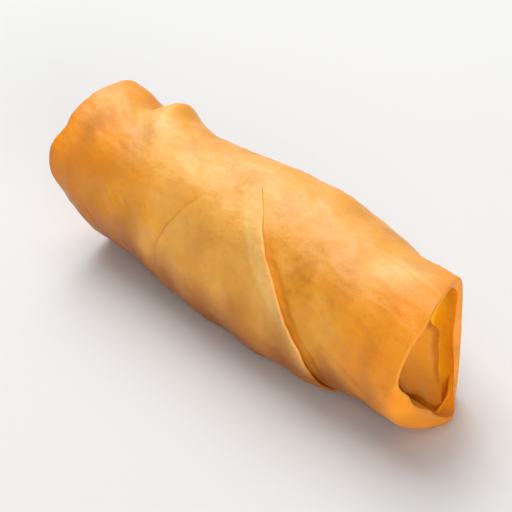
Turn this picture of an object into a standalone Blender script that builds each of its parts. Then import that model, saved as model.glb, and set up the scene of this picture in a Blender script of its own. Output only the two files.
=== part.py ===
"""Fried spring roll: a thin wrapper rolled round its filling, its ends folded shut,
and its last corner laid over the front as a pointed flap.

The roll lies along X on a flat spot under its middle. Its front faces -Y, and its
open-looking folded end is at +X. Lengths here are in millimetres; the meshes are in metres.
Round the roll, an angle of 0 degrees is the front, 90 the top, 180 the back, 270 the bottom.
"""
import bpy
import numpy as np

MM = 0.001

# driving dimensions
RADIUS = 14.9              # mean radius of the roll
FAR_TIP = -48.7            # where the wrapper's crease lies at the far end (-X)
NEAR_TIP = 48.3            # and at the near end (+X)
FLAT = 0.35                # how much the underside is pressed flat
COLUMNS = 52               # points round the roll
BODY_RINGS = 34            # rings from one shoulder to the other

# folded ends
LIP_FAR = 0.9              # rounding of the far crease
LIP_NEAR = 0.5             # rounding of the near crease
FOOT_FOLD = 4.7            # how much further the near crease turns in at the lower front
LIP_BACK = 2.7             # turn-in of the near crease behind
FOLD_LEAN = 0.75           # length of the near rounding along X, against its depth
BACK_LEAN = 0.22           # the same behind, where the rim is flatter
NEAR_BACK = 8.6            # the near end is pinched to this distance behind the axis
NEAR_SLANT = 6.2           # how far the near crease retreats at the back
FAR_SLANT = 6.0            # how far the far crease retreats underneath
POCKET_FLOOR = 37.8        # X of the near pocket's floor
TONGUE_RISE = 3.6          # the folded layer stands this far out of that floor
TONGUE_TOP = 21.0          # height of that layer's upper edge
TONGUE_SIDE = 3.0          # Y of its edge beside the back wall
FAR_POCKET = 6.0           # depth of the far pocket

# closing flap
TIP_X = -1.5               # where the wrapper's corner ends
TIP_ARC = 22.6             # its place up from the front line, measured round the roll
FLAP_LENGTH = 46.0         # from the corner down the front and under the roll
FLAP_PROUD = 0.85          # how far the flap stands on the layer below
FLAP_SUNK = 0.6            # how far its underside is let into the roll
FLAP_ROWS = 24
FLAP_COLUMNS = 9

CRUST = (0.72, 0.36, 0.09, 1.0)


def rise(t, start, stop):
    """Smooth step from 0 at start to 1 at stop."""
    k = np.clip((t - start) / (stop - start), 0, 1)
    return k * k * (3 - 2 * k)


def hill(t, centre, width):
    """Bell of height 1 at centre."""
    return np.exp(-((t - centre) / width) ** 2)


def signed(angle, lowest=-180):
    """The same angle, brought into the 360 degrees above lowest."""
    return (angle - lowest) % 360 + lowest


def hill_round(angle, centre, width):
    """Bell round the roll, in degrees."""
    return hill(signed(angle - centre), 0, width)


def lesser(a, b, blend):
    """The smaller of two values, with a soft change from one to the other."""
    return -blend * np.log(np.exp(-a / blend) + np.exp(-b / blend))


def near_crease(angle):
    """X of the near crease: foremost at the front, further back on the pinched side."""
    t = signed(angle, -80)
    back = rise(t, 56, 132) * (1 - rise(t, 234, 272))
    under = rise(t, 234, 272) + (t < 0) * (1 - rise(t, -80, -35))
    return NEAR_TIP - NEAR_SLANT * back - 1.0 * under - 0.4 * hill_round(angle, 26, 34)


def far_crease(angle):
    """X of the far crease, which retreats below the front and has a lobe and a small notch."""
    under = rise(np.cos(np.radians(angle + 70)), -0.15, 0.9)
    lobe = 0.5 * hill_round(angle, 48, 7) - 1.6 * hill_round(angle, 10, 30)
    lobe = lobe - 0.5 * hill_round(angle, 58, 24) + 1.0 * hill_round(angle, 150, 26)
    return FAR_TIP + FAR_SLANT * under + lobe


def behind(angle):
    """1 on the pinched back of the near end, 0 in front."""
    t = signed(angle)
    return rise(t, 104, 132) + rise(-t, 95, 118)


def near_fold(angle):
    """How deep the near crease turns in: a thin lip in front, thicker behind, a broad fold below.

    The fold's edge turns in at once below the front, then slowly deeper, and fades behind.
    """
    t = -signed(angle)
    foot = FOOT_FOLD * (0.64 * rise(t, -18, 6) + 0.36 * rise(t, 0, 45)) * (1 - rise(t, 46, 116))
    return LIP_NEAR + foot + (LIP_BACK - LIP_NEAR) * behind(angle)


def near_lean(angle):
    """Length of the near rounding along X as a share of its depth: flatter behind."""
    return FOLD_LEAN + (BACK_LEAN - FOLD_LEAN) * behind(angle)


def near_outline(angle):
    """Radius of the near end: a circle cut by an upright flat at the back, corners soft."""
    flat = np.maximum(np.cos(np.radians(angle - 183)) / NEAR_BACK, 1e-6)
    soft = 18
    pinched = (RADIUS ** -soft + flat ** soft) ** (-1 / soft)
    return pinched - 0.4 * hill_round(angle, -48, 26) - 0.9 * hill_round(angle, 110, 20)


def far_outline(angle):
    """Radius of the far end: a little proud on top, drawn in at the lower front."""
    top = 0.5 * hill_round(angle, 122, 20) - 1.1 * hill_round(angle, 152, 24)
    return RADIUS + top - 0.7 * hill_round(angle, 52, 30) - 1.6 * hill_round(angle, -32, 40)


def swelling(x, angle):
    """How far the wrapped filling pushes the roll out of a plain cylinder."""
    arc = np.radians(signed(angle, -90)) * RADIUS
    top_back = hill_round(angle, 138, 48)
    lower_front = hill_round(angle, -42, 26)
    grow = 1.9 * hill(x, 6, 13) * top_back
    grow -= 1.5 * hill(x, -24, 6) * top_back
    grow -= 1.6 * hill(x, 36, 8) * hill_round(angle, 128, 40)
    squashed = rise(x, -32, -4) * (1 - rise(x, 16, 31))
    grow += 1.9 * squashed * hill_round(angle, -48, 28)
    grow -= 1.0 * hill(x, 35.5, 2.6) * lower_front
    grow -= 0.6 * hill(x, -38, 6) * hill_round(angle, -42, 34)
    ahead = 26 - arc
    furrow = -40.3 + 0.55 * (ahead + np.sqrt(ahead ** 2 + 9))
    grow -= 2.6 * hill(x, furrow, 3.6) * rise(arc, 12, 33) * (1 - rise(arc, 44, 56))
    peak = np.clip((x + 39.2) / 7.0, 0, 1) ** 1.5 * (1 - rise(x, -33.6, -29.4))
    grow += 2.7 * peak * hill_round(angle, 120, 17)
    return grow


def roll_radius(x, angle):
    """Radius of the roll at x, easing into the shape of each end."""
    to_near = rise(x, 24, 43.5)
    to_far = 1 - rise(x, -47, -38)
    grow = swelling(x, angle)
    middle = (RADIUS + grow) * (1 - to_near) + near_outline(angle) * to_near
    return middle * (1 - to_far) + (far_outline(angle) + 0.6 * grow) * to_far


def place(x, radius, angle):
    """Points at a radius and an angle round the roll's axis."""
    t = np.radians(angle)
    x = x + np.zeros_like(radius)
    return np.stack([x, -radius * np.cos(t), RADIUS + radius * np.sin(t)], axis=-1)


def near_lip(angle, turn):
    """Quarter ellipse over the near crease, turn from 0 at its shoulder to 1 at its edge."""
    depth = near_fold(angle)
    reach = depth * near_lean(angle)
    x = near_crease(angle) - reach + reach * np.sin(turn * np.pi / 2)
    radius = roll_radius(near_crease(angle) - reach, angle)
    return place(x, radius - depth * (1 - np.cos(turn * np.pi / 2)), angle)


def far_lip(angle, turn):
    """Quarter circle over the far crease."""
    x = far_crease(angle) + LIP_FAR * (1 - np.sin(turn * np.pi / 2))
    radius = roll_radius(far_crease(angle) + LIP_FAR, angle)
    return place(x, radius - LIP_FAR * (1 - np.cos(turn * np.pi / 2)), angle)


def toward(ring, middle, share):
    """The ring drawn in toward a middle point, in its own Y and Z."""
    inner = ring.copy()
    inner[:, 1:] = middle + (ring[:, 1:] - middle) * share
    return inner


def near_pocket(angle):
    """Rings from the near edge, down the wall and over the folded layer to the middle."""
    edge = near_lip(angle, np.ones_like(angle))
    middle = np.array([-1.0, 12.0])
    rings = []
    for share in (0.95, 0.9, 0.78, 0.62, 0.4, 0.2):
        ring = toward(edge, middle, share)
        layer = rise(TONGUE_TOP - ring[:, 2], -2.0, 2.0) * rise(TONGUE_SIDE - ring[:, 1], -1.8, 1.8)
        ring[:, 0] = POCKET_FLOOR + TONGUE_RISE * layer * rise(share, 0.92, 0.78)
        rings.append(ring)
    rings[0][:, 0] = (edge[:, 0] + POCKET_FLOOR) / 2
    return rings, np.array([POCKET_FLOOR + TONGUE_RISE, *middle])


def far_pocket(angle):
    """Rings of the far pocket: a lens-shaped hollow with one layer folded across it."""
    edge = far_lip(angle, np.ones_like(angle))
    middle = np.array([1.0, 14.0])
    rings = []
    for share, depth in ((0.93, 0.5), (0.86, 1.0), (0.7, 0.75), (0.45, 0.6), (0.2, 0.6)):
        pinch = 1 - 0.22 * hill_round(angle, 35, 45) - 0.16 * hill_round(angle, 215, 50)
        ring = toward(edge, middle, share)
        ring[:, 1:] = middle + (ring[:, 1:] - middle) * pinch[:, None]
        ring[:, 0] += FAR_POCKET * depth
        rings.append(ring)
    return rings, np.array([FAR_TIP + 0.6 * FAR_POCKET, *middle])


def roll_rings():
    """All rings of the roll in order, with the middle points that close its two ends."""
    angle = np.arange(COLUMNS) * 360 / COLUMNS
    start = far_crease(angle) + LIP_FAR
    stop = near_crease(angle) - near_fold(angle) * near_lean(angle)
    far_inside, far_middle = far_pocket(angle)
    near_inside, near_middle = near_pocket(angle)
    rings = far_inside[::-1]
    rings += [far_lip(angle, turn) for turn in (1.0, 0.5)]
    for along in np.linspace(0, 1, BODY_RINGS):
        x = start + (stop - start) * along
        rings.append(place(x, roll_radius(x, angle), angle))
    rings += [near_lip(angle, turn) for turn in (0.4, 0.75, 1.0)]
    rings += near_inside
    return rings, far_middle, near_middle


def ring_faces(ring_count, columns):
    """Quads between neighbouring rings, and a fan to the middle point at each end."""
    faces = []
    for ring in range(ring_count - 1):
        for column in range(columns):
            after = (column + 1) % columns
            low, high = ring * columns, (ring + 1) * columns
            faces.append((low + column, high + column, high + after, low + after))
    first, last = ring_count * columns, ring_count * columns + 1
    top = (ring_count - 1) * columns
    for column in range(columns):
        after = (column + 1) % columns
        faces.append((first, column, after))
        faces.append((last, top + after, top + column))
    return faces


def add_object(name, points, faces, collection):
    """Make a mesh object from points in millimetres."""
    mesh = bpy.data.meshes.new(name)
    mesh.from_pydata((points * MM).tolist(), [], faces)
    mesh.validate()
    mesh.shade_smooth()
    thing = bpy.data.objects.new(name, mesh)
    collection.objects.link(thing)
    return thing


def resting_shift(roll, flap):
    """The move that stands the roll with its flap on the origin, in the middle of their box."""
    both = np.concatenate([roll, flap])
    low, high = both.min(axis=0), both.max(axis=0)
    return -np.array([(low[0] + high[0]) / 2, (low[1] + high[1]) / 2, FLAT])


def roll_points():
    """All points of the roll with its underside pressed flat, and the number of its rings."""
    rings, far_middle, near_middle = roll_rings()
    points = np.concatenate(rings + [far_middle[None], near_middle[None]])
    points[:, 2] = np.maximum(points[:, 2], FLAT)
    return points, len(rings)


def flap_points():
    """Points of the corner flap's outer face, row by row, tip first."""
    down = np.linspace(0, 1, FLAP_ROWS)[:, None] ** 1.2 * FLAP_LENGTH
    across = np.linspace(0, 1, FLAP_COLUMNS)[None, :]
    widening = np.sqrt(down ** 2 + 1.6 * down) + 0.4
    to_near = lesser(1.06 * widening, 22.8 + 0.16 * widening, 1.2)
    to_far = lesser(0.80 * widening, 9.4 + 0.20 * widening, 1.2)
    x = TIP_X - to_far + (to_far + to_near) * across
    angle = np.degrees((TIP_ARC - down) / RADIUS) + 0 * across
    proud = FLAP_PROUD - (FLAP_PROUD + 0.4) * rise(down, 0.62 * FLAP_LENGTH, 0.9 * FLAP_LENGTH)
    points = place(x, roll_radius(x, angle) + proud, angle).reshape(-1, 3)
    points[:, 2] = np.maximum(points[:, 2], FLAT + 0.2)
    return points


def add_flap(points, collection):
    """The flap as a thin shell, let into the roll so that the two can be joined."""
    faces = []
    for row in range(FLAP_ROWS - 1):
        for column in range(FLAP_COLUMNS - 1):
            a = row * FLAP_COLUMNS + column
            faces.append((a, a + FLAP_COLUMNS, a + FLAP_COLUMNS + 1, a + 1))
    flap = add_object("flap_blank", points, faces, collection)
    shell = flap.modifiers.new("thickness", "SOLIDIFY")
    shell.thickness = (FLAP_PROUD + FLAP_SUNK) * MM
    shell.offset = -1
    flap.hide_render = True
    flap.display_type = "WIRE"
    return flap


def crust_material():
    """Golden fried wrapper."""
    material = bpy.data.materials.new("fried_wrapper")
    material.use_nodes = True
    shader = material.node_tree.nodes["Principled BSDF"]
    shader.inputs["Base Color"].default_value = CRUST
    shader.inputs["Roughness"].default_value = 0.5
    shader.inputs["Metallic"].default_value = 0.0
    return material


def add_collection(name):
    collection = bpy.data.collections.new(name)
    bpy.context.scene.collection.children.link(collection)
    return collection


def main():
    for thing in list(bpy.data.objects):
        bpy.data.objects.remove(thing, do_unlink=True)
    parts = add_collection("fried_spring_roll")
    helpers = add_collection("helpers")
    roll_shape, ring_count = roll_points()
    flap_shape = flap_points()
    shift = resting_shift(roll_shape, flap_shape)
    roll = add_object("spring_roll", roll_shape + shift, ring_faces(ring_count, COLUMNS), parts)
    flap = add_flap(flap_shape + shift, helpers)
    join = roll.modifiers.new("closing_flap", "BOOLEAN")
    join.operation = "UNION"
    join.object = flap
    roll.data.materials.append(crust_material())


main()
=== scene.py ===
# %% [markdown]
# A fried spring roll
#
# A square of thin wheat wrapper is folded in at two sides, rolled round its filling, and
# closed by laying its last corner over the front. Frying makes it stiff, golden, a little
# oily and covered in fine blisters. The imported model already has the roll's true outline as
# one plain solid. This script puts the fried skin on it: a fine surface with lumps,
# blisters and creases, the closing corner as a sheet of its own, and the folded ends.

import bpy
import numpy as np
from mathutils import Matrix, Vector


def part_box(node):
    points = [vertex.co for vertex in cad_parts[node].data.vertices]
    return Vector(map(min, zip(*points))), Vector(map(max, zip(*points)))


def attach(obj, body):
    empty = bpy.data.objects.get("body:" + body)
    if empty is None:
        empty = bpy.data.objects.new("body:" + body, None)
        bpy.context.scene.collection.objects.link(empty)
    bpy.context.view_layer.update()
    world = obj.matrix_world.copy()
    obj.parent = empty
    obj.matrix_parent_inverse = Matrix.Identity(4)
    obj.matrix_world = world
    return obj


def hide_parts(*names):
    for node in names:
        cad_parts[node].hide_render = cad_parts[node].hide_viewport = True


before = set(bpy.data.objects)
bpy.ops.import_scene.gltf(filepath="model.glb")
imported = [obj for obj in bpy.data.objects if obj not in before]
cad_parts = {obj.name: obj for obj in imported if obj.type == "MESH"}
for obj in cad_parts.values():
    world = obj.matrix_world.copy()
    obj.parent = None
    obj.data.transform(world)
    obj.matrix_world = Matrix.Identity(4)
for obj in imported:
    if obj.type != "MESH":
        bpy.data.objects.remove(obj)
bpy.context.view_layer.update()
box_low, box_high = (np.array(corner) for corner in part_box("spring_roll"))
MM = 0.001

# %% [markdown]
# The camera looks at the roll from its front and right and from well above, with a long
# lens from half a metre away. A near camera with a short lens would make the near end look
# too large. The camera leans a little to one side, so the roll does not lie quite level.

# %% Place the camera
CAMERA_PLACE = np.array([309.6, -272.5, 322.1]) * MM
CAMERA_TARGET = np.array([-3.9, 0.5, 10.9]) * MM
CAMERA_LEAN = np.radians(-2.7)
LENS = 190.9
SENSOR = 36.0


def looking_matrix(place, target, lean):
    """A camera's axes: back from the target to the camera, right level, both turned by lean."""
    back = (place - target) / np.linalg.norm(place - target)
    right = np.cross([0.0, 0.0, 1.0], back)
    right /= np.linalg.norm(right)
    up = np.cross(back, right)
    matrix = np.eye(4)
    matrix[:3, 0] = np.cos(lean) * right + np.sin(lean) * up
    matrix[:3, 1] = np.cos(lean) * up - np.sin(lean) * right
    matrix[:3, 2] = back
    matrix[:3, 3] = place
    return matrix


camera_data = bpy.data.cameras.new("camera")
camera_data.lens = LENS
camera_data.sensor_width = SENSOR
camera = bpy.data.objects.new("camera", camera_data)
bpy.context.scene.collection.objects.link(camera)
camera.matrix_world = looking_matrix(CAMERA_PLACE, CAMERA_TARGET, CAMERA_LEAN).T.tolist()
bpy.context.scene.camera = camera
print("camera", np.round(np.linalg.norm(CAMERA_PLACE - CAMERA_TARGET), 3), "m away")

# %% [markdown]
# Every shape below is drawn with a few soft curves: a step, a bell, a sum of bells, and the
# smaller of two values. They work on whole arrays at once. Lengths are in millimetres. An
# angle goes round the roll: 0 is the front, 90 the top, 180 the back, 270 the underside.

# %% Soft curves to draw with


def rise(t, start, stop):
    """Smooth step: 0 at start, 1 at stop, k * k * (3 - 2 k) between."""
    k = np.clip((t - start) / (stop - start), 0, 1)
    return k * k * (3 - 2 * k)


def hill(t, centre, width):
    """Bell: e to the power of minus the square of (t - centre) / width."""
    return np.exp(-((t - centre) / width) ** 2)


def signed(angle, lowest=-180):
    """The same angle, brought into the 360 degrees above lowest."""
    return (angle - lowest) % 360 + lowest


def hill_round(angle, centre, width):
    """Bell round the roll, in degrees."""
    return hill(signed(angle - centre), 0, width)


def bells(x, angle, places):
    """Sum of bells on the roll, each given as height, X, length, angle and width."""
    total = 0.0
    for height, at_x, length, at_angle, width in places:
        total = total + height * hill(x, at_x, length) * hill_round(angle, at_angle, width)
    return total


def lesser(a, b, soft):
    """The smaller of two values, with a soft change: -soft * log(exp(-a/soft) + exp(-b/soft))."""
    return -soft * np.log(np.exp(-a / soft) + np.exp(-b / soft))


print("halfway up a step:", rise(0.5, 0, 1))

# %% [markdown]
# The roll is a tube of about 15 mm radius, but its ends are not cut square. The wrapper's
# crease runs round each end like a wavy rim: the near end is pinched flat at the back and
# slants away there, the far end slants away underneath. These are the same rules as the
# solid model's, so that the skin lies on it.

# %% The roll's outline at its two ends
RADIUS = 14.9  # the plain tube
FLAT = 0.35  # pressed off the underside
FAR_TIP, NEAR_TIP = -48.7, 48.3  # X of the two creases, where they reach out furthest
NEAR_SLANT, FAR_SLANT = 6.2, 6.0  # how far each crease slants back
LIP_FAR, LIP_NEAR, LIP_BACK = 0.9, 0.5, 2.7  # how deep each lip turns in
FOOT_FOLD = 4.7  # how much deeper the broad fold below turns in
FOLD_LEAN, BACK_LEAN = 0.75, 0.22  # length of the near rounding for its depth
PINCHED_SIDE = 183  # the angle that the near end's flat back faces
NEAR_BACK = 8.6  # from the roll's axis to that flat


def near_crease(angle):
    """X of the near crease: foremost at the front, 6 mm further back on the pinched side."""
    t = signed(angle, -80)
    back = rise(t, 56, 132) * (1 - rise(t, 234, 272))
    under = rise(t, 234, 272) + (t < 0) * (1 - rise(t, -80, -35))
    return NEAR_TIP - NEAR_SLANT * back - 1.0 * under - 0.4 * hill_round(angle, 26, 34)


def far_crease(angle):
    """X of the far crease, which retreats below the front and has a lobe and a small notch."""
    under = rise(np.cos(np.radians(angle + 70)), -0.15, 0.9)
    lobe = 0.5 * hill_round(angle, 48, 7) - 1.6 * hill_round(angle, 10, 30)
    lobe = lobe - 0.5 * hill_round(angle, 58, 24) + 1.0 * hill_round(angle, 150, 26)
    return FAR_TIP + FAR_SLANT * under + lobe


def behind(angle):
    """1 on the pinched back of the near end, 0 in front."""
    t = signed(angle)
    return rise(t, 104, 132) + rise(-t, 95, 118)


def near_fold(angle):
    """How deep the near crease turns in: a thin lip in front, thicker behind, a broad fold below.

    The fold's edge turns in at once below the front, then slowly deeper, and fades behind.
    """
    t = -signed(angle)
    foot = FOOT_FOLD * (0.64 * rise(t, -18, 6) + 0.36 * rise(t, 0, 45)) * (1 - rise(t, 46, 116))
    return LIP_NEAR + foot + (LIP_BACK - LIP_NEAR) * behind(angle)


def near_lean(angle):
    """Length of the near rounding along X as a share of its depth: flatter behind."""
    return FOLD_LEAN + (BACK_LEAN - FOLD_LEAN) * behind(angle)


def near_outline(angle):
    """Radius of the near end: a circle cut by an upright flat at the back, corners soft."""
    flat = np.maximum(np.cos(np.radians(angle - PINCHED_SIDE)) / NEAR_BACK, 1e-6)
    soft = 18
    pinched = (RADIUS ** -soft + flat ** soft) ** (-1 / soft)
    return pinched - 0.4 * hill_round(angle, -48, 26) - 0.9 * hill_round(angle, 110, 20)


def far_outline(angle):
    """Radius of the far end: a little proud on top, drawn in at the lower front."""
    top = 0.5 * hill_round(angle, 122, 20) - 1.1 * hill_round(angle, 152, 24)
    return RADIUS + top - 0.7 * hill_round(angle, 52, 30) - 1.6 * hill_round(angle, -32, 40)


print("length along the front", round(float(near_crease(0) - far_crease(0)), 1), "mm")

# %% [markdown]
# The filling is loose, so the tube swells over it and sinks where there is less of it. The
# large swellings are placed one by one. The small unevenness of a fried wrapper is not
# placed: it is a sum of waves in random directions. A whole number of waves goes round the
# roll, so the pattern has no seam.

# %% Large swellings and small ripples
SWELLINGS = [
    (1.9, 6, 13, 138, 48), (-1.5, -24, 6, 138, 48), (-1.6, 36, 8, 128, 40),
    (-1.0, 35.5, 2.6, -42, 26), (-0.6, -38, 6, -42, 34),
]


def arc_from_front(angle):
    """Millimetres round the roll from the middle of its front: less than 0 below it."""
    return np.radians(signed(angle, -90)) * RADIUS


def swelling(x, angle):
    """How far the wrapped filling pushes the roll out of a plain cylinder.

    It is the sum of the bells, a long bulge squashed out at the lower front, a slanting
    furrow near the far end, and the hump beside that furrow.
    """
    squashed = rise(x, -32, -4) * (1 - rise(x, 16, 31)) * hill_round(angle, -48, 28)
    arc = arc_from_front(angle)
    ahead = 26 - arc
    furrow_x = -40.3 + 0.55 * (ahead + np.sqrt(ahead ** 2 + 9))
    furrow = hill(x, furrow_x, 3.6) * rise(arc, 12, 33) * (1 - rise(arc, 44, 56))
    hump = np.clip((x + 39.2) / 7.0, 0, 1) ** 1.5 * (1 - rise(x, -33.6, -29.4))
    hump = hump * hill_round(angle, 120, 17)
    return bells(x, angle, SWELLINGS) + 1.9 * squashed - 2.6 * furrow + 2.7 * hump


def roll_radius(x, angle):
    """Radius of the roll at x: the middle's, easing into each end's outline."""
    to_near = rise(x, 24, 43.5)
    to_far = 1 - rise(x, -47, -38)
    grow = swelling(x, angle)
    middle = (RADIUS + grow) * (1 - to_near) + near_outline(angle) * to_near
    return middle * (1 - to_far) + (far_outline(angle) + 0.6 * grow) * to_far


def ripples(x, angle, size, seed, waves=24):
    """Sum of sines of about one size, each along its own direction, scaled to a spread of 1."""
    rng = np.random.default_rng(seed)
    heading = rng.uniform(0, np.pi, waves)
    length = size * rng.uniform(0.75, 1.35, waves)
    along = 2 * np.pi * np.cos(heading) / length
    turns = np.rint(2 * np.pi * RADIUS * np.sin(heading) / length)
    phase = rng.uniform(0, 2 * np.pi, waves)
    round_roll = np.radians(angle)
    total = np.zeros(np.broadcast(x, angle).shape)
    for k in range(waves):
        total += np.sin(along[k] * x + turns[k] * round_roll + phase[k])
    return total / np.sqrt(waves / 2)


print("fullest part", round(float(roll_radius(6.0, 138.0)), 1), "mm from the axis")

# %% [markdown]
# Hot oil drives steam out of the dough, which leaves hundreds of blisters, from under one
# to a few millimetres across. Each one is a low dome. They are thrown over the skin at
# random places, from a fixed seed so that the roll is the same each time.

# %% Blisters
BLISTERS = [  # how many, smallest and largest size, steepness, seed
    (260, 0.7, 2.4, 0.06, 16),
    (520, 0.35, 0.8, 0.11, 23),
]


def blisters(x, angle, count, smallest, largest, steep, seed):
    """Greatest of many domes, each steep * size * (1 - d * d / (size * size)) squared."""
    rng = np.random.default_rng(seed)
    centre_x = rng.uniform(-47, 47, count)
    centre_angle = rng.uniform(0, 360, count)
    size = smallest + (largest - smallest) * rng.uniform(0, 1, count) ** 2.5
    stretch = rng.uniform(0.75, 1.35, count)
    skin = np.zeros(np.broadcast(x, angle).shape)
    for k in range(count):
        across = (x - centre_x[k]) / stretch[k]
        around = np.radians(signed(angle - centre_angle[k])) * RADIUS * stretch[k]
        left = np.clip(1 - (across ** 2 + around ** 2) / size[k] ** 2, 0, 1)
        skin = np.maximum(skin, steep * size[k] * left ** 2)
    return skin


tallest = max(steep * largest for _, _, largest, steep, _ in BLISTERS)
print("tallest blister", round(tallest, 2), "mm")

# %% [markdown]
# Creases are different again: a wrapper that is drawn together folds along short lines.
# A crease is measured from its two ends on the unrolled skin, and pressed in as a narrow
# trough with a slight bank on each side, as folded dough has.

# %% Creases


def crease(x, angle, start, stop, width, depth):
    """Trough along a line from start to stop (x, angle): minus a bell plus a wider, lower one."""
    arc = arc_from_front(angle)
    ax, aa = start[0], np.radians(start[1]) * RADIUS
    bx, ba = stop[0], np.radians(stop[1]) * RADIUS
    length = np.hypot(bx - ax, ba - aa)
    along = ((x - ax) * (bx - ax) + (arc - aa) * (ba - aa)) / length ** 2
    aside = ((x - ax) * (ba - aa) - (arc - aa) * (bx - ax)) / length
    fade = rise(along, -0.15, 0.25) * (1 - rise(along, 0.75, 1.15))
    return depth * fade * (0.45 * hill(aside, 0, 2.6 * width) - 1.45 * hill(aside, 0, width))


CREASES = [  # (x, angle) of the two ends, width, depth
    ((-30.2, 25), (-26.8, 15), 0.55, 0.34),
    ((-27.8, 27), (-24.4, 17), 0.55, 0.34),
    ((-32.6, 13), (-29.8, 3), 0.55, 0.28),
    ((-36.9, -1), (-34.2, -11), 0.50, 0.30),
    ((-44.0, 96), (-37.0, 80), 0.7, 0.22),
    ((34.0, 40), (44.0, 24), 0.8, 0.16),
    ((31.0, 5), (41.0, -14), 0.8, 0.25),
    ((33.0, 96), (43.0, 88), 0.8, 0.20),
    ((30.0, -20), (38.0, -36), 0.7, 0.25),
    ((-20.0, 150), (12.0, 196), 0.9, 0.20),
    ((14.0, 170), (38.0, 214), 0.8, 0.22),
    ((-43.0, 160), (-30.0, 190), 0.8, 0.25),
]
print(len(CREASES), "creases")

# %% [markdown]
# The closing flap is the last corner of the wrapper. It comes round from underneath and
# ends in a blunt point close to the top. Its outline is needed before the skin is made,
# because the skin has a groove beside the flap's right edge, where the sheet stands off it.

# %% The closing flap's outline
TIP_X, TIP_ARC = -1.5, 22.6  # its point: along the roll, and round it from the front
FLAP_LENGTH = 50.0  # from the point down to the base underneath


def flap_edges(down):
    """X of the flap's left and right edge, from the distance below its point.

    Both edges leave the blunt point along the square root of down * down + 1.6 * down, then
    turn soon and run almost straight down.
    """
    widening = np.sqrt(down ** 2 + 1.6 * down) + 0.4
    to_near = lesser(1.06 * widening, 22.8 + 0.16 * widening, 1.2)
    to_far = lesser(0.80 * widening, 9.4 + 0.20 * widening, 1.2)
    uneven = (0.18 * np.sin(0.55 * down) + 0.10 * np.sin(1.3 * down + 2)) * rise(down, 1, 6)
    return TIP_X - to_far + uneven, TIP_X + to_near + uneven


left, right = flap_edges(np.array([0.0, 10.0, 20.0]))
print("flap is", np.round(right - left, 1), "mm wide at 0, 10 and 20 mm below its point")

# %% [markdown]
# The fine relief is the sum of all this: broad and small ripples, two sizes of blister, the
# creases, and the groove beside the flap. It is weaker where the near end was pressed: on
# the rim's pinched side and on the broad fold.

# %% Fine relief of the skin
RIPPLES = [(0.17, 15.0, 4), (0.06, 6.0, 8), (0.028, 2.6, 15)]  # height, size, seed


def flap_groove(x, angle):
    """Shallow trough just outside the flap's right edge, deepest half way down."""
    down = np.maximum(TIP_ARC - arc_from_front(angle), 0)
    edge = flap_edges(down)[1]
    return -0.40 * hill(x - edge, 0.6, 1.1) * rise(down, 5, 13) * (1 - rise(down, 30, 36))


def fried_relief(x, angle):
    """Millimetres by which the fried dough stands above or below the plain roll."""
    fine = sum(height * ripples(x, angle, size, seed) for height, size, seed in RIPPLES)
    for count, smallest, largest, steep, seed in BLISTERS:
        fine = fine + blisters(x, angle, count, smallest, largest, steep, seed)
    for start, stop, width, depth in CREASES:
        fine = fine + crease(x, angle, start, stop, width, depth)
    return fine


def relief(x, angle):
    """The fried relief, weaker on the near end's rim and fold, with the flap's groove."""
    smooth_rim = 1 - 0.85 * rise(x, 35, 41) * rise(-np.cos(np.radians(angle - 6)), 0.0, 0.4)
    smooth_fold = 1 - 0.7 * rise(x, 40, 46) * hill_round(angle, -35, 50)
    return fried_relief(x, angle) * smooth_rim * smooth_fold + flap_groove(x, angle)


sample = relief(np.linspace(-40, 40, 400)[:, None], np.arange(0, 360, 2.0)[None, :])
print("relief from", round(float(sample.min()), 2), "to", round(float(sample.max()), 2), "mm")

# %% [markdown]
# The skin is one closed surface: rings of points from the middle of the far pocket, out
# over the far lip, along the roll, over the near lip and down into the near pocket. A
# sphere or a cylinder bent into shape would put its points in the wrong places, while here
# the rings are close together exactly where the wrapper turns sharply.

# %% Rings along the body and over both lips
COLUMNS = 400
ANGLES = np.arange(COLUMNS) * 360.0 / COLUMNS
BODY_ROWS, LIP_ROWS, WALL_ROWS, FLOOR_ROWS = 150, 10, 12, 26


def place(x, radius, angle):
    """Points at a radius and an angle round the roll's axis: y = -r cos, z = R + r sin."""
    t = np.radians(angle)
    y, z = -radius * np.cos(t), RADIUS + radius * np.sin(t)
    return np.stack(np.broadcast_arrays(x, y, z), axis=-1)


def near_lip(angle, turn):
    """Quarter ellipse over the near crease, from its shoulder (turn 0) to its edge (turn 1)."""
    depth = near_fold(angle)
    reach = depth * near_lean(angle)
    shoulder = near_crease(angle) - reach
    x = shoulder + reach * np.sin(turn * np.pi / 2)
    radius = roll_radius(shoulder, angle) + relief(x, angle)
    return place(x, radius - depth * (1 - np.cos(turn * np.pi / 2)), angle)


def far_lip(angle, turn):
    """Quarter circle over the far crease, from its shoulder to its edge."""
    x = far_crease(angle) + LIP_FAR * (1 - np.sin(turn * np.pi / 2))
    radius = roll_radius(far_crease(angle) + LIP_FAR, angle) + relief(x, angle)
    return place(x, radius - LIP_FAR * (1 - np.cos(turn * np.pi / 2)), angle)


around = ANGLES[None, :]
start = far_crease(around) + LIP_FAR
stop = near_crease(around) - near_fold(around) * near_lean(around)
along = start + (stop - start) * np.linspace(0, 1, BODY_ROWS)[:, None]
body = place(along, roll_radius(along, around) + relief(along, around), around)
turns = np.linspace(0, 1, LIP_ROWS)[1:, None]
near_ring = near_lip(around, turns)
far_ring = far_lip(around, turns)[::-1]
print("body rings", body.shape[:2], "lip rings", near_ring.shape[:2])

# %% [markdown]
# Across the near pocket lies a tongue of dough, the wrapper's side that was folded in
# before rolling. It is worked out before the pocket, whose floor is raised to lie close
# under it. It could be a copy of the rim's outline drawn smaller, but its upper edge and
# its edge beside the back wall are free, so it gets an outline of its own in Y and Z.

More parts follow.
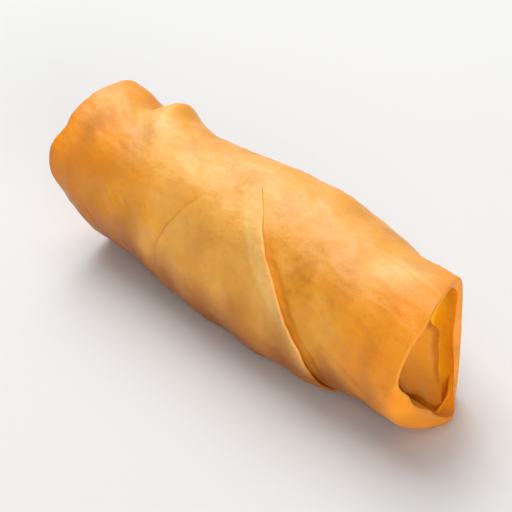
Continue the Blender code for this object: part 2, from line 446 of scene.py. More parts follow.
# %% The folded tongue in the near pocket
TONGUE_TOP, TONGUE_SIDE = 21.4, 2.8  # height of its upper edge, Y of its free edge
TONGUE_X, TONGUE_RISE = 41.6, 3.6  # X at the back, and how far it rises to the front
TONGUE_GAP = 1.2  # left open between it and the broad fold


def tongue_start(z):
    """Smallest Y of the tongue at height z.

    Above, it goes into the front wall. Below, it ends a gap short of the broad fold.
    """
    angle = np.linspace(-88, 60, 75)
    reach = near_outline(angle) - near_fold(angle) - TONGUE_GAP + 1.4 * rise(angle, -4, 20)
    edge = place(0.0, reach, angle)
    return np.interp(z, edge[:, 2], edge[:, 1])


def tongue_stop(z):
    """Greatest Y of the tongue at height z: a free edge, rounded above, tucked in below."""
    top_corner = 2.2 * rise(z, TONGUE_TOP - 4.5, TONGUE_TOP) ** 2
    tucked = 2.6 * (1 - rise(z, 1, 12))
    return TONGUE_SIDE - top_corner - tucked + 0.15 * np.sin(1.2 * z)


def tongue_sag(y):
    """How far the tongue's upper edge strays from level: a slow wave, lower at its corner."""
    return 0.35 * np.sin(0.8 * y + 1) - 1.3 * rise(y, -0.5, 2.8)


def lower_front(y, z):
    """Distance from the roll's axis toward the lower front: (R - z - y) / root 2."""
    return (RADIUS - z - y) * np.sqrt(0.5)


def tongue_bow(y, z):
    """X of the tongue: it rises toward the lower front, and shallow pleats run up and down."""
    pleats = 0.10 * np.sin(1.3 * y + 0.15 * z) + 0.04 * np.sin(2.6 * y - 0.4 * z + 1)
    raised = TONGUE_RISE * rise(lower_front(y, z), 0, 11)
    return TONGUE_X + raised + 0.3 * hill(y, tongue_stop(z), 1.2) + pleats


tongue_width = float(tongue_stop(12.0) - tongue_start(12.0))
print("the tongue is", round(tongue_width, 1), "mm wide at a height of 12 mm")

# %% [markdown]
# Each end is a pocket, because the wrapper's sides were folded in before rolling. Its wall
# drops almost straight down behind the lip. Its floor is uneven dough: deep at the top and
# beside the back wall of the near end, raised where layers lie on each other.

# %% Rings down into the two pockets
NEAR_MIDDLE, FAR_MIDDLE = np.array([-1.0, 12.0]), np.array([1.0, 14.0])  # Y and Z
NEAR_FLOOR, FAR_FLOOR = 37.8, -42.4  # X
UNDER_TONGUE = 1.3  # how far the floor lies below the tongue


def near_floor(y, z):
    """X of the near pocket's floor: a deep hollow, raised close under the tongue."""
    below_top = rise(TONGUE_TOP + tongue_sag(y) - 0.5 - z, -0.6, 0.8)
    beside_wall = rise(tongue_stop(z) - 0.5 - y, -0.6, 0.6)
    tongue = below_top * beside_wall * rise(y - tongue_start(z), 0.3, 1.5)
    corner = rise(1.0 + 0.95 * (y - 2.9) - z, -0.6, 0.8) * rise(y, 2.6, 4.0)
    wavy = 0.3 * np.sin(1.1 * y + 0.3 * z) + 0.2 * np.sin(0.8 * z - 0.5 * y + 1)
    under_tongue = (tongue_bow(y, z) - UNDER_TONGUE - NEAR_FLOOR) * tongue
    return NEAR_FLOOR + wavy * (1 - tongue) + under_tongue + 2.8 * corner * (1 - tongue)


def far_floor(y, z):
    """X of the far pocket's floor: it leans with the crease and is furrowed like a fan."""
    lean = 5.2 * rise(13 - 0.4 * y - z, -7, 9)
    turn = np.arctan2(z - 8, y + 4)
    return FAR_FLOOR + lean + 0.35 * np.sin(7 * turn) + 0.2 * np.sin(0.9 * y + 0.6 * z)


def pocket(edge, middle, floor, foot):
    """Rings from an edge to its middle point: y and z shrink, x falls to the floor at once.

    foot is the share of the edge's size that is left where the wall meets the floor.
    """
    down_wall = np.linspace(0, 1, WALL_ROWS)[1:, None]
    in_floor = np.linspace(1, 0, FLOOR_ROWS + 2)[1:-1, None]
    shares = np.concatenate([1 - (1 - foot) * down_wall ** 1.5, foot * in_floor])
    y = middle[0] + (edge[None, :, 1] - middle[0]) * shares
    z = middle[1] + (edge[None, :, 2] - middle[1]) * shares
    bottom = floor(y, z)
    x = bottom + (edge[None, :, 0] - bottom) * rise(shares, foot - 0.005, 1.005)
    return np.stack([x, y, z], axis=-1)


near_foot = 0.955 - 0.02 * hill_round(around, -50, 40)
far_foot = 0.84 - 0.16 * hill_round(around, 138, 50)
near_inside = pocket(near_ring[-1], NEAR_MIDDLE, near_floor, near_foot)
far_inside = pocket(far_ring[0], FAR_MIDDLE, far_floor, far_foot)[::-1]
near_pole = np.array([near_floor(*NEAR_MIDDLE), *NEAR_MIDDLE])
far_pole = np.array([far_floor(*FAR_MIDDLE), *FAR_MIDDLE])
rings = np.concatenate([far_inside, far_ring, body, near_ring, near_inside])
rings[..., 2] = np.maximum(rings[..., 2], FLAT)
print("skin", rings.shape[:2], "rings and columns")

# %% [markdown]
# A thin sheet of dough is also one closed surface. Its outer and inner faces share the
# points of their common border, and its thickness follows a quarter circle near that
# border, so the edge is round. Rows and columns crowd toward the borders for the same
# reason.

# %% Thin sheets with round edges


def crowded(count):
    """Numbers from 0 to 1 that crowd at both ends: (1 - cos(pi u)) / 2."""
    return (1 - np.cos(np.pi * np.linspace(0, 1, count))) / 2


def surface_normals(grid):
    """Unit normals of a grid of points, from the slopes along its rows and columns."""
    normal = np.cross(np.gradient(grid, axis=0), np.gradient(grid, axis=1))
    length = np.linalg.norm(normal, axis=-1, keepdims=True)
    return normal / np.maximum(length, 1e-9)


def sheet_faces(grid, thickness):
    """Outer and inner grid of a sheet that lies below the given outer face.

    Near the border the two close up like half a circle: half the thickness times the root
    of 1 - (1 - distance / half)**2.
    """
    rows, columns = grid.shape[:2]
    steps_down = np.linalg.norm(np.diff(grid, axis=0), axis=-1).cumsum(axis=0)
    steps_across = np.linalg.norm(np.diff(grid, axis=1), axis=-1).cumsum(axis=1)
    down = np.concatenate([np.zeros((1, columns)), steps_down])
    across = np.concatenate([np.zeros((rows, 1)), steps_across], axis=1)
    to_ends = np.minimum(down, down[-1:] - down)
    to_sides = np.minimum(across, across[:, -1:] - across)
    half = thickness / 2
    left = np.clip(np.minimum(to_ends, to_sides) / half, 0, 1)
    plump = (half * np.sqrt(1 - (1 - left) ** 2))[..., None]
    normals = surface_normals(grid)
    middle = grid - half * normals
    return middle + plump * normals, middle - plump * normals


print("crowded columns:", np.round(crowded(6), 2))

# %% [markdown]
# Now the flap itself. It lies on the roll and takes over its lumps. Its point and its left
# edge are stuck down, its right edge stands a little off the skin, and its base sinks into
# the skin underneath the roll, where the sheet comes from.

# %% The closing flap as a sheet
FLAP_ROWS, FLAP_COLUMNS = 190, 110
FLAP_THICK = 0.6


def flap_height(down, to_left, to_right):
    """How far the flap's outer face stands off the skin."""
    stuck = 0.34 + 0.26 * rise(to_left, 2, 12)
    lift = 0.50 * hill(to_right, 0, 2.4) * rise(down, 4, 13) * (1 - rise(down, 27, 35))
    curl = 0.10 * np.sin(0.8 * down) * hill(to_right, 0, 2.0)
    return stuck + lift + curl - 1.4 * rise(down, 0.74 * FLAP_LENGTH, 0.94 * FLAP_LENGTH)


down = np.linspace(0, 1, FLAP_ROWS)[:, None] ** 1.4 * FLAP_LENGTH
left, right = flap_edges(down)
flap_x = left + (right - left) * crowded(FLAP_COLUMNS)[None, :]
flap_angle = np.degrees((TIP_ARC - down) / RADIUS) + 0 * flap_x
flap_off = flap_height(down, flap_x - left, right - flap_x)
flap_radius = roll_radius(flap_x, flap_angle) + fried_relief(flap_x, flap_angle) + flap_off
flap_grid = place(flap_x, flap_radius, flap_angle)
flap_grid[..., 2] = np.maximum(flap_grid[..., 2], FLAT - 0.1)
flap_outer, flap_inner = sheet_faces(flap_grid, FLAP_THICK)
print("flap stands off by", np.round([flap_off.min(), flap_off.max()], 2), "mm")

# %% [markdown]
# The tongue in the near pocket is a sheet too, and so is the small corner of dough that is
# tucked in behind it. A leaf is drawn in Y and Z, as it would look to someone facing the
# roll's end, and its X is worked out from where each point is.

# %% The folded layers in the near pocket
LAYER_THICK = 0.55
TONGUE_FOOT = 3.7  # the height of its lower edge
TONGUE_LEVEL = 12  # its rows are level up to here, then follow the sagging upper edge
CORNER_FROM, CORNER_TURN = -122, 40  # where the corner lies round the rim, in degrees
CORNER_INNER, CORNER_WIDTH = 11.5, 1.9  # its distance from the axis, and its width


def layer_grid(across, height, bow, rows=70, columns=70):
    """Grid of a leaf: y runs between across(z)'s two edges, z down between the two heights.

    bow(y, z) is its X. The leaf faces +X where across runs to larger y, else -X.
    """
    z = height[0] + (height[1] - height[0]) * crowded(rows)[:, None]
    first, last = across(z)
    y = first + (last - first) * crowded(columns)[None, :]
    z = z + 0 * y
    return np.stack([bow(y, z), y, z], axis=-1)


def tongue_edges(z):
    """The tongue runs from beside the broad fold to its free edge."""
    return tongue_start(z), tongue_stop(z)


def tongue_grid():
    """The tongue, its upper part raised or lowered with its uneven edge."""
    grid = layer_grid(tongue_edges, (TONGUE_TOP, TONGUE_FOOT), tongue_bow, rows=90, columns=80)
    share = np.clip((grid[..., 2] - TONGUE_LEVEL) / (TONGUE_TOP - TONGUE_LEVEL), 0, 1) ** 2
    grid[..., 2] += tongue_sag(grid[..., 1]) * share
    return grid


def corner_grid(rows=60, columns=30):
    """A band along the lower back of the rim, whose X rises from the back to the broad fold."""
    angle = CORNER_FROM + CORNER_TURN * crowded(rows)[:, None]
    radius = CORNER_INNER + CORNER_WIDTH * crowded(columns)[None, :]
    radius = radius + 0.12 * np.sin(0.35 * angle)
    band = place(0.0 * radius, radius, angle)
    climb = 43.0 + 0.35 * (5.2 - band[..., 1]) + 0.3 * hill(radius, CORNER_INNER, 0.8)
    band[..., 0] = lesser(climb, near_crease(angle) - 0.6 + 0 * radius, 0.3)
    return band


layers = {"near_fold": tongue_grid(), "near_corner_fold": corner_grid()}
for name, grid in layers.items():
    print(name, "Y from", np.round(grid[..., 1].min(), 1), "to", np.round(grid[..., 1].max(), 1))

# %% [markdown]
# In the far pocket lie two broad leaves, one hanging from the top and one that comes up
# over it from below. Each is a part of an oval between two heights, because that is how a
# wrapper's corner ends when it is laid over a round end.

# %% The two leaves in the far pocket


def oval(z, middle, tall, wide):
    """Half the width of an oval at height z: wide * root(1 - ((z - middle) / tall) squared)."""
    return wide * np.sqrt(np.clip(1 - ((z - middle) / tall) ** 2, 0.02, 1))


def upper_leaf_edges(z):
    """It hangs from the top, a little wider toward the front."""
    half = oval(z, 18, 9.0, 11.0)
    return 0.2 + 0.74 * half, 0.2 - 0.95 * half


def upper_leaf_bow(y, z):
    """It leans in toward its lower end."""
    return -44.4 + 2.0 * rise(18 - z, -4, 8) + 0.25 * np.sin(1.1 * y + 0.4 * z)


def lower_leaf_edges(z):
    """It comes up from below, over the upper one."""
    half = oval(z, 9, 8.4, 10.8)
    return half, -half


def lower_leaf_bow(y, z):
    """It follows the crease, which retreats toward the lower front."""
    return -43.6 + 3.6 * rise(13 + 0.5 * y - z, -4, 9) + 0.3 * np.sin(0.9 * y - 0.5 * z + 2)


layers["far_upper_fold"] = layer_grid(upper_leaf_edges, (25.8, 11.0), upper_leaf_bow)
layers["far_lower_fold"] = layer_grid(lower_leaf_edges, (17.0, 1.6), lower_leaf_bow)
for name, grid in layers.items():
    print(name, "X from", np.round(grid[..., 0].min(), 1), "to", np.round(grid[..., 0].max(), 1))

# %% [markdown]
# The colour of fried dough follows how hot it got. The thin ends and lips are orange and
# the thick middle stays tan. Here and there dark filling shows through. Each of these is a
# share from 0 to 1, worked out for every point and kept on the mesh as an attribute. A
# painted picture would do as well, but it would have to be wrapped round the roll.

# %% How toasted, and where the filling shows


def toasting(x, angle):
    """0 for pale tan dough, 1 for the most orange: high at both ends, uneven between."""
    lower_far = 0.25 * (1 - rise(x, -38, -18)) * (1 - rise(signed(angle, -90), 35, 75))
    ends = 0.86 * rise(x, 20, 45) + 0.8 * (1 - rise(x, -47, -22)) + lower_far
    return np.clip(0.16 + 0.72 * ends + 0.07 * ripples(x, angle, 18.0, seed=31), 0, 1)


FILLING_SPOTS = [  # X, angle, size, strength
    (20.3, 43, 2.9, 0.8), (27.5, 40, 1.3, 0.7), (2.0, 62, 1.8, 0.35), (-22.0, 30, 2.4, 0.35),
    (24.0, 120, 3.0, 0.5), (-12.0, 150, 4.0, 0.7), (8.0, 190, 3.2, 0.6), (-30.0, 205, 3.0, 0.5),
    (20.0, 230, 3.5, 0.6), (-18.0, 100, 2.0, 0.25), (-6.0, 250, 3.0, 0.5), (32.0, 170, 2.4, 0.5),
]


def filling_shadow(x, angle):
    """0 for clear skin, up to 1 where dark filling lies just below: a sum of ragged bells."""
    shadow = np.zeros(np.broadcast(x, angle).shape)
    ragged = np.exp(0.3 * ripples(x, angle, 2.4, seed=41))
    for centre_x, centre_angle, size, strength in FILLING_SPOTS:
        around = np.radians(signed(angle - centre_angle)) * RADIUS
        distance = np.hypot(x - centre_x, around) * ragged
        shadow = shadow + strength * hill(distance, 0, size)
    return np.clip(shadow, 0, 1)


print("most toasted at the near end:", np.round(toasting(45.0, 90.0).max(), 2))

# %% [markdown]
# The underside is darker, painted shade where little light reaches, and the top is paler, a
# painted sheen along it with painted highlights in three patches. The flap's right edge is
# palest, where the flour paste that glued it kept the oil off.

# %% Painted shade, painted sheen, and the flap's pale margin
# painted highlights on the top: height, X, length, angle and width of each
PAINTED_HIGHLIGHTS = [(0.78, 36.5, 5, 94, 17), (0.45, -31, 5, 92, 15), (0.35, -44, 4, 80, 30)]


def shade_and_browning(x, angle):
    """0 to 1 where the dough is darker: painted shade underneath and at the far end's lower
    front, and two darker patches, at the far end and on the near half.
    """
    rim = rise(x - near_crease(angle), -8.0, -3.0)
    # painted shade on the underside, weaker close to the near crease
    under = rise(-np.sin(np.radians(angle)), -0.24, 0.60) * (1 - 0.9 * rim)
    # darker toward the far end, with painted shade at its lower front
    far = 0.22 * (1 - rise(x, -36, -22)) * hill_round(angle, 50, 34)
    far = far + 0.28 * (1 - rise(x, -30, -12)) * hill_round(angle, -2, 22)
    near = 0.11 * hill(x, 24, 11) * hill_round(angle, 60, 22)
    return np.clip(0.95 * under + far + near + 0.10 * ripples(x, angle, 11.0, seed=52), 0, 1)


def painted_top_sheen(x, angle):
    """Painted sheen: up to 0.5 in an uneven band along the top, and painted highlights in three
    patches on it.
    """
    far, near = 1 - rise(x, -36, -22), rise(x, 4, 18)
    middle = 84 + 12 * far + 6 * near
    wide = 38 - 14 * far - 10 * near
    top = hill(signed(angle + 4 * ripples(x, angle, 13.0, seed=61) - middle), 0, wide)
    band = 0.5 * top * (1 - rise(x, 32, 42)) * (0.4 + 0.6 * rise(x, -46, -34))
    return band * (1 - 0.6 * hill(x, 25, 6)) + bells(x, angle, PAINTED_HIGHLIGHTS)


def flap_margin(down, to_right):
    """1 on the pale strip inside the flap's right edge, which narrows from 6 mm to 2.4 mm."""
    wide = 6.0 - 3.6 * rise(down, 12, 28)
    along_flap = rise(down, 0, 4) * (1 - rise(down, 26, 34))
    return (1 - rise(to_right, wide - 1.8, wide + 0.6)) * along_flap


def tongue_shade(y, z):
    """Painted shade on the tongue: 1 beside the lip, where the lip's shade falls, 0.75 along its
    free edge.
    """
    height = z - RADIUS
    angle = np.degrees(np.arctan2(height, -y))
    gap = near_outline(angle) - near_fold(angle) - np.hypot(y, height)
    free_edge = 0.75 * hill(tongue_stop(z) - y, 0.6, 1.5) * rise(z, 2, 8)
    return np.maximum((1 - rise(gap, 1.0, 4.5)) * (y < 0), free_edge)


print("browning underneath:", np.round(shade_and_browning(0.0, 270.0), 2))

# %% [markdown]
# The arrays become meshes. Rings close on themselves and end in a fan of triangles round a
# pole; a sheet's two faces are joined by using the same points along their border.

# %% Faces for rings and for sheets


def ring_faces(rows, columns):
    """Quads between neighbouring rings, with a fan at each end; the poles come last."""
    index = np.arange(rows * columns).reshape(rows, columns)
    after = np.roll(index, -1, axis=1)
    quads = np.stack([index[:-1], index[1:], after[1:], after[:-1]], axis=-1).reshape(-1, 4)
    first, last = np.full(columns, rows * columns), np.full(columns, rows * columns + 1)
    start_fan = np.stack([first, index[0], after[0]], axis=-1)
    end_fan = np.stack([last, after[-1], index[-1]], axis=-1)
    return quads.tolist() + start_fan.tolist() + end_fan.tolist()


def cut_corners(quads, cells):
    """All faces of a sheet's side, its corner cells cut in two through the sheet's own corner.

    That corner is the first point of the first cell, the second of the second, and so on.
    Cut the other way, the two sides would have the same triangle there, back to back.
    """
    whole = np.ones(quads.shape[:2], dtype=bool)
    halves = []
    for turn, cell in enumerate(cells):
        whole[cell] = False
        corner, following, opposite, last = np.roll(quads[cell], -turn).tolist()
        halves += [(corner, following, opposite), (corner, opposite, last)]
    return quads[whole].tolist() + halves


def sheet_mesh(outer, inner, tints):
    """Points, faces and tints of a closed sheet; the inner face uses the outer's border."""
    rows, columns = outer.shape[:2]
    top = np.arange(rows * columns).reshape(rows, columns)
    below = top.copy()
    extra = np.arange((rows - 2) * (columns - 2)).reshape(rows - 2, columns - 2)
    below[1:-1, 1:-1] = rows * columns + extra
    outside = np.stack([top[:-1, :-1], top[1:, :-1], top[1:, 1:], top[:-1, 1:]], axis=-1)
    inside = np.stack([below[:-1, :-1], below[:-1, 1:], below[1:, 1:], below[1:, :-1]], axis=-1)
    points = np.concatenate([outer.reshape(-1, 3), inner[1:-1, 1:-1].reshape(-1, 3)])
    faces = cut_corners(outside, [(0, 0), (-1, 0), (-1, -1), (0, -1)])
    faces += cut_corners(inside, [(0, 0), (0, -1), (-1, -1), (-1, 0)])
    both = {name: np.concatenate([t.ravel(), t[1:-1, 1:-1].ravel()]) for name, t in tints.items()}
    return points, faces, both


def tints_of(toasted, pale, filling, inside, browned):
    """The five tints by name, each stretched to the size of the first."""
    names = ("toasted", "pale", "filling", "inside", "browned")
    values = (toasted, pale, filling, inside, browned)
    return {name: value + 0.0 * toasted for name, value in zip(names, values)}


print("a small ring mesh has", len(ring_faces(3, 8)), "faces")

# %% [markdown]
# The finished pieces must lie exactly where the solid model lies. The roll's own ruler is
# moved so that the skin and the flap together are centred on the model's box and rest on
# the floor.

# %% Settle on the solid model
both_low = np.minimum(rings.min(axis=(0, 1)), flap_outer.min(axis=(0, 1)))
both_high = np.maximum(rings.max(axis=(0, 1)), flap_outer.max(axis=(0, 1)))
move = (box_low + box_high) / 2 / MM - (both_low + both_high) / 2
move[2] = box_low[2] / MM - both_low[2]
print("moved by", np.round(move, 2), "mm; box", np.round(both_high - both_low, 1), "mm")


def make_piece(name, points, faces, tints):
    """Mesh object from points in millimetres, with its tints as point attributes."""
    mesh = bpy.data.meshes.new(name)
    mesh.from_pydata((points + move) * MM, [], faces)
    for tint_name, values in tints.items():
        kept = mesh.attributes.new(tint_name, "FLOAT", "POINT")
        kept.data.foreach_set("value", values.astype(np.float32))
    mesh.shade_smooth()
    piece = bpy.data.objects.new(name, mesh)
    bpy.context.scene.collection.objects.link(piece)
    print(name, len(mesh.polygons), "faces")
    return piece


# %% [markdown]
# The skin takes its tints from where each point lies along and round the roll. Down in the
# pockets the walls get a strong yellow, a painted glow of light shining through the thin dough.
# They get painted shade in the crevice under the tongue and high on the near pocket's wall.

# %% Make the skin
CREVICE_RING, CREVICE_RINGS = 14, 5  # its middle and its width, in rings from the near lip
skin_x, skin_angle = rings[..., 0], np.broadcast_to(around, rings.shape[:2])
far_rows, near_rows = len(far_inside), len(near_inside)
# the pocket walls, which get a painted glow of light shining through the thin dough
inside = np.zeros(skin_x.shape)
inside[:far_rows] = 0.4 * rise(np.arange(far_rows)[::-1, None], 0, WALL_ROWS)
inside[-near_rows:] = rise(np.arange(near_rows)[:, None], 0, WALL_ROWS)
# painted shade in the crevice below the near lip and high on the near pocket's wall
crevice_shade = np.zeros(skin_x.shape)
crevice_shade[-near_rows:] = hill(np.arange(near_rows)[:, None], CREVICE_RING, CREVICE_RINGS)
crevice_shade = crevice_shade * hill_round(skin_angle, -35, 45)
upper_wall_shade = 0.9 * rise(inside, 0, 0.5) * (skin_x > 0) * rise(rings[..., 2], 16, 23)
skin_tints = tints_of(
    toasted=0.6 * inside + toasting(skin_x, skin_angle) * (1 - inside),
    pale=(1 - inside) * painted_top_sheen(skin_x, skin_angle),
    filling=(1 - inside) * filling_shadow(skin_x, skin_angle),
    inside=inside * (1 - 0.7 * crevice_shade),
    browned=np.maximum((1 - inside) * shade_and_browning(skin_x, skin_angle) + upper_wall_shade, crevice_shade),
)
pole_tints = tints_of(np.full(2, 0.6), 0.0, 0.0, 1.0, 0.0)
skin_points = np.concatenate([rings.reshape(-1, 3), np.stack([far_pole, near_pole])])
for name, values in skin_tints.items():
    skin_tints[name] = np.concatenate([values.ravel(), pole_tints[name]])
skin = make_piece("roll_skin", skin_points, ring_faces(*rings.shape[:2]), skin_tints)

# %% [markdown]
# The flap is tan like the middle of the roll, with its pale floury margin. The folded layers in
# the pockets are toasted, and darker toward the lower front, painted shade under the lip. The
# tongue gets painted shade beside the lip and along its free edge as well.

# %% Make the flap and the folded layers
# the flap's browning is mostly painted shade underneath, as on the skin
flap_tints = tints_of(
    toasted=0.10 + 0.5 * toasting(flap_x, flap_angle),
    pale=0.34 * (1 - 0.8 * rise(down, 12, 24)) + 0.66 * flap_margin(down, right - flap_x),
    filling=0.5 * filling_shadow(flap_x, flap_angle),
    inside=0.0,
    browned=shade_and_browning(flap_x, flap_angle),
)
flap = make_piece("closing_flap", *sheet_mesh(flap_outer, flap_inner, flap_tints))
folds = []
for name, grid in layers.items():
    y, z = grid[..., 1], grid[..., 2]
    # painted shade: darker toward the lower front under the lip, and on the tongue beside the lip
    # and along its free edge
    fold_shade_and_browning = 0.20 + 0.60 * rise(lower_front(y, z), 0, 10)
    if name == "near_corner_fold":
        fold_shade_and_browning = 0.10
    if name == "near_fold":
        fold_shade_and_browning = np.maximum(fold_shade_and_browning, tongue_shade(y, z))
    tints = tints_of(np.full(y.shape, 0.75), 0.0, 0.0, 0.0, fold_shade_and_browning)
    folds.append(make_piece(name, *sheet_mesh(*sheet_faces(grid, LAYER_THICK), tints)))

# %% [markdown]
# Fried dough is one material: a tan to orange colour, mottled at several scales, dotted
# with small brown freckles, and a thin film of oil that gives a soft sheen. Image textures
# would show the same few blotches on every roll. Noise and attributes make it from rules.
# First come small helpers, most of which add one node and hand back its output.

# %% Helpers: colours, sockets and noise


def paint(red, green, blue):
    """A colour given in 0 to 255, as linear light with an alpha of 1."""
    value = np.array([red, green, blue]) / 255
    linear = np.where(value <= 0.04045, value / 12.92, ((value + 0.055) / 1.055) ** 2.4)
    return (*linear.tolist(), 1.0)


def socket(tree, place_in, value):
    """Link an output to an input, or set the input's plain value."""
    if isinstance(value, bpy.types.NodeSocket):
        tree.links.new(value, place_in)
    else:
        place_in.default_value = value


def noise(tree, where, size, detail=3.0, roughness=0.5):
    """Soft noise from 0 to 1 whose lumps are about size millimetres across."""
    node = tree.nodes.new("ShaderNodeTexNoise")
    socket(tree, node.inputs["Vector"], where)
    node.inputs["Scale"].default_value = 1 / (size * MM)
    node.inputs["Detail"].default_value = detail
    node.inputs["Roughness"].default_value = roughness
    return node.outputs["Fac"]


def span(tree, value, low, high, to_low=0.0, to_high=1.0):
    """Stretch low..high to to_low..to_high, clamped and smooth."""
    node = tree.nodes.new("ShaderNodeMapRange")
    node.interpolation_type = "SMOOTHSTEP"
    socket(tree, node.inputs["Value"], value)
    limits = {"From Min": low, "From Max": high, "To Min": to_low, "To Max": to_high}
    for name, number in limits.items():
        node.inputs[name].default_value = number
    return node.outputs["Result"]


print("mid grey in linear light:", np.round(paint(128, 128, 128)[0], 3))

# %% [markdown]
# Values are added and multiplied with Math nodes, and colours are mixed by a share. A tint
# comes from the mesh's attribute of that name.

# %% Helpers: arithmetic, mixing and tints


def arithmetic(tree, operation, first, second):
    """One arithmetic step on two values."""
    node = tree.nodes.new("ShaderNodeMath")
    node.operation = operation
    socket(tree, node.inputs[0], first)
    socket(tree, node.inputs[1], second)
    return node.outputs["Value"]


def plus(tree, first, second):
    """first + second."""
    return arithmetic(tree, "ADD", first, second)


def times(tree, first, second):
    """first * second."""
    return arithmetic(tree, "MULTIPLY", first, second)


def blend(tree, share, first, second):
    """Mix two colours: (1 - share) * first + share * second."""
    node = tree.nodes.new("ShaderNodeMix")
    node.data_type = "RGBA"
    colour_in = [place_in for place_in in node.inputs if place_in.type == "RGBA"]
    socket(tree, node.inputs[0], share)
    socket(tree, colour_in[0], first)
    socket(tree, colour_in[1], second)
    return next(out for out in node.outputs if out.type == "RGBA")


def tint(tree, name):
    """One of the tints kept on the mesh."""
    node = tree.nodes.new("ShaderNodeAttribute")
    node.attribute_name = name
    return node.outputs["Fac"]


print("one tint for each of", list(skin_tints))

# %% [markdown]
# The colour is mixed in coats, as a painter would lay them: tan dough with paler clouds, orange
# where it is toasted and deeper in spots, flour and a painted sheen, dark filling under the skin,
# brown that is mostly painted shade, the painted glow of the pockets, and small freckles over
# all.

# %% The fried dough's colour
TAN, LIGHT_TAN = paint(230, 152, 34), paint(240, 168, 66)
ORANGE, DEEP_ORANGE = paint(242, 148, 18), paint(228, 126, 8)
# a pale floury colour that also paints sheen and highlights, and a bright yellow that paints the
# pockets' glow
FLOUR_AND_SHEEN, INSIDE_GLOW = paint(246, 190, 106), paint(255, 198, 26)
# the second of these is a dark brown that mostly paints shade
FILLING_BROWN, BROWN_AND_SHADE = paint(164, 88, 16), paint(150, 74, 3)
FRECKLE = paint(176, 92, 20)


def dough_colour(tree, where):
    """Base colour: tan, then eight coats, whose shares come from the tints and from noise."""
    clouds = noise(tree, where, 9.0, detail=2)
    fine = noise(tree, where, 1.6, detail=3, roughness=0.6)
    spots = span(tree, noise(tree, where, 5.0), 0.45, 0.70)
    clumps = span(tree, noise(tree, where, 2.2, detail=4), 0.30, 0.70)
    dots = span(tree, noise(tree, where, 0.9, detail=2, roughness=0.4), 0.58, 0.78)
    toasted = plus(tree, tint(tree, "toasted"), span(tree, fine, 0.3, 0.7, -0.10, 0.10))
    deep = times(tree, span(tree, toasted, 0.5, 1.0), spots)
    coats = [
        (LIGHT_TAN, span(tree, clouds, 0.40, 0.66)),
        (ORANGE, span(tree, toasted, 0.15, 0.95)),
        (DEEP_ORANGE, times(tree, deep, 0.55)),
        # flour, and the painted sheen on top
        (FLOUR_AND_SHEEN, times(tree, tint(tree, "pale"), span(tree, fine, 0.25, 0.60, 0.55, 1.0))),
        (FILLING_BROWN, times(tree, times(tree, tint(tree, "filling"), clumps), 0.50)),
        # mostly painted shade, with some real browning
        (BROWN_AND_SHADE, times(tree, tint(tree, "browned"), 0.9)),
        # painted glow of light through the pocket walls
        (INSIDE_GLOW, times(tree, tint(tree, "inside"), 0.9)),
        (FRECKLE, times(tree, dots, 0.16)),
    ]
    colour = TAN
    for coat, share in coats:
        colour = blend(tree, share, colour, coat)
    return colour


print("tan dough in linear light:", np.round(TAN, 3))

# %% [markdown]
# The surface gets its last grain from bump, because pores of a third of a millimetre are
# finer than the mesh. Oil makes some patches glossier, but hardly reached the folds, which
# are duller. A little light goes into the dough and comes out warmer, as in all pastry.

# %% The fried dough's surface


def dough_bump(tree, where):
    """Grain of the fried skin: pores of 0.35 mm on bubbles of 1.1 mm, from 0.25 mm of relief."""
    grain = noise(tree, where, 0.35, detail=3, roughness=0.6)
    bubbles = noise(tree, where, 1.1, detail=2)
    both = plus(tree, times(tree, grain, 0.35), bubbles)
    node = tree.nodes.new("ShaderNodeBump")
    node.inputs["Strength"].default_value = 0.5
    node.inputs["Distance"].default_value = 0.25 * MM
    socket(tree, node.inputs["Height"], both)
    return node.outputs["Normal"]


def fried_material(name, shine):
    """The fried wrapper: colour, roughness with oily patches, and bump; shine is its gloss."""
    material = bpy.data.materials.new(name)
    material.use_nodes = True
    tree = material.node_tree
    where = tree.nodes.new("ShaderNodeTexCoord").outputs["Object"]
    shader = tree.nodes["Principled BSDF"]
    socket(tree, shader.inputs["Base Color"], dough_colour(tree, where))
    oily = noise(tree, where, 4.0, detail=2)
    socket(tree, shader.inputs["Roughness"], span(tree, oily, 0.35, 0.65, 0.40, 0.52))
    socket(tree, shader.inputs["Normal"], dough_bump(tree, where))
    shader.inputs["Specular IOR Level"].default_value = shine
    shader.inputs["Subsurface Weight"].default_value = 0.25
    shader.inputs["Subsurface Radius"].default_value = (1.0, 0.35, 0.08)
    shader.inputs["Subsurface Scale"].default_value = 2.0 * MM
    return material


outer_look = fried_material("fried_wrapper_outside", 0.35)
fold_look = fried_material("fried_wrapper_folds", 0.10)
pieces = [skin, flap, *folds]
for piece in pieces:
    piece.data.materials.append(fold_look if piece in folds else outer_look)
print("material on", len(pieces), "pieces")

# %% [markdown]
# Every piece moves with the one body and stands in for the plain solid.

# %% Tie the pieces to the model
for piece in pieces:
    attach(piece, "root")
    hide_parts("spring_roll")
print("tied", [piece.name for piece in pieces])

# %% [markdown]
# The stage is a plain pale floor, big enough to have no edge in sight, and no shine of its
# own that would mirror the roll.

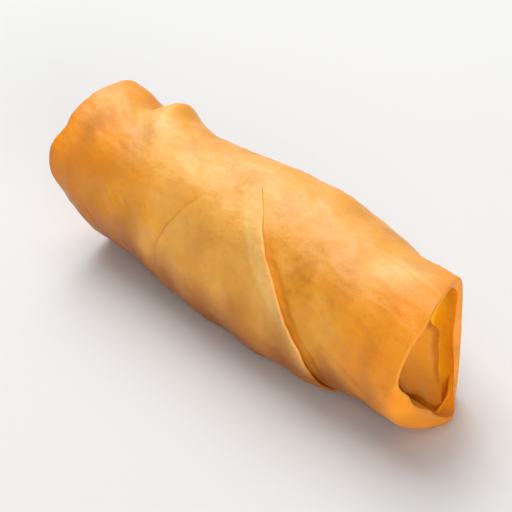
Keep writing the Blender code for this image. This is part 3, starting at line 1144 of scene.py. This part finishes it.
# %% Floor
FLOOR_SIZE = 4.0
FLOOR_PAINT = (0.72, 0.72, 0.72, 1.0)
corners = np.array([[-1, -1, 0], [1, -1, 0], [1, 1, 0], [-1, 1, 0]]) * FLOOR_SIZE / 2
floor_mesh = bpy.data.meshes.new("floor")
floor_mesh.from_pydata(corners.tolist(), [], [(0, 1, 2, 3)])
floor = bpy.data.objects.new("floor", floor_mesh)
bpy.context.scene.collection.objects.link(floor)
floor_look = bpy.data.materials.new("pale_floor")
floor_look.use_nodes = True
floor_shader = floor_look.node_tree.nodes["Principled BSDF"]
floor_shader.inputs["Base Color"].default_value = FLOOR_PAINT
floor_shader.inputs["Roughness"].default_value = 0.7
floor_shader.inputs["Specular IOR Level"].default_value = 0.2
floor_mesh.materials.append(floor_look)
print("floor", FLOOR_SIZE, "m wide")

# %% [markdown]
# The light is soft, as in a studio: a large softbox overhead, a smaller one behind the far
# end so that its sheen runs along the top, a low one that looks into the near pocket, and a
# pale surrounding. Small hard lamps would put sharp glints on the blisters.

# %% Light
SOFTBOXES = {  # direction from the roll, distance and size in metres, power in watts
    "overhead": ((-0.40, 0.15, 0.90), 1.2, 0.9, 10.3),
    "sheen_light": ((-0.60, 0.50, 0.62), 1.2, 0.5, 4.2),
    "near_end_light": ((1.00, -0.42, 0.22), 1.4, 0.9, 14.2),
}
SURROUND_PAINT, SURROUND_STRENGTH = (1.0, 0.99, 0.975, 1.0), 0.36


def softbox(name, direction, distance, size, power):
    """Square area light that looks at the roll from a direction."""
    data = bpy.data.lights.new(name, "AREA")
    data.shape = "SQUARE"
    data.size = size
    data.energy = power
    lamp = bpy.data.objects.new(name, data)
    bpy.context.scene.collection.objects.link(lamp)
    lamp_place = np.array(direction) / np.linalg.norm(direction) * distance
    lamp.matrix_world = looking_matrix(lamp_place, np.zeros(3), 0.0).T.tolist()


for name, values in SOFTBOXES.items():
    softbox(name, *values)
world = bpy.data.worlds.new("studio")
world.use_nodes = True
surround = world.node_tree.nodes["Background"]
surround.inputs["Color"].default_value = SURROUND_PAINT
surround.inputs["Strength"].default_value = SURROUND_STRENGTH
bpy.context.scene.world = world
bpy.context.scene.view_settings.view_transform = "Standard"
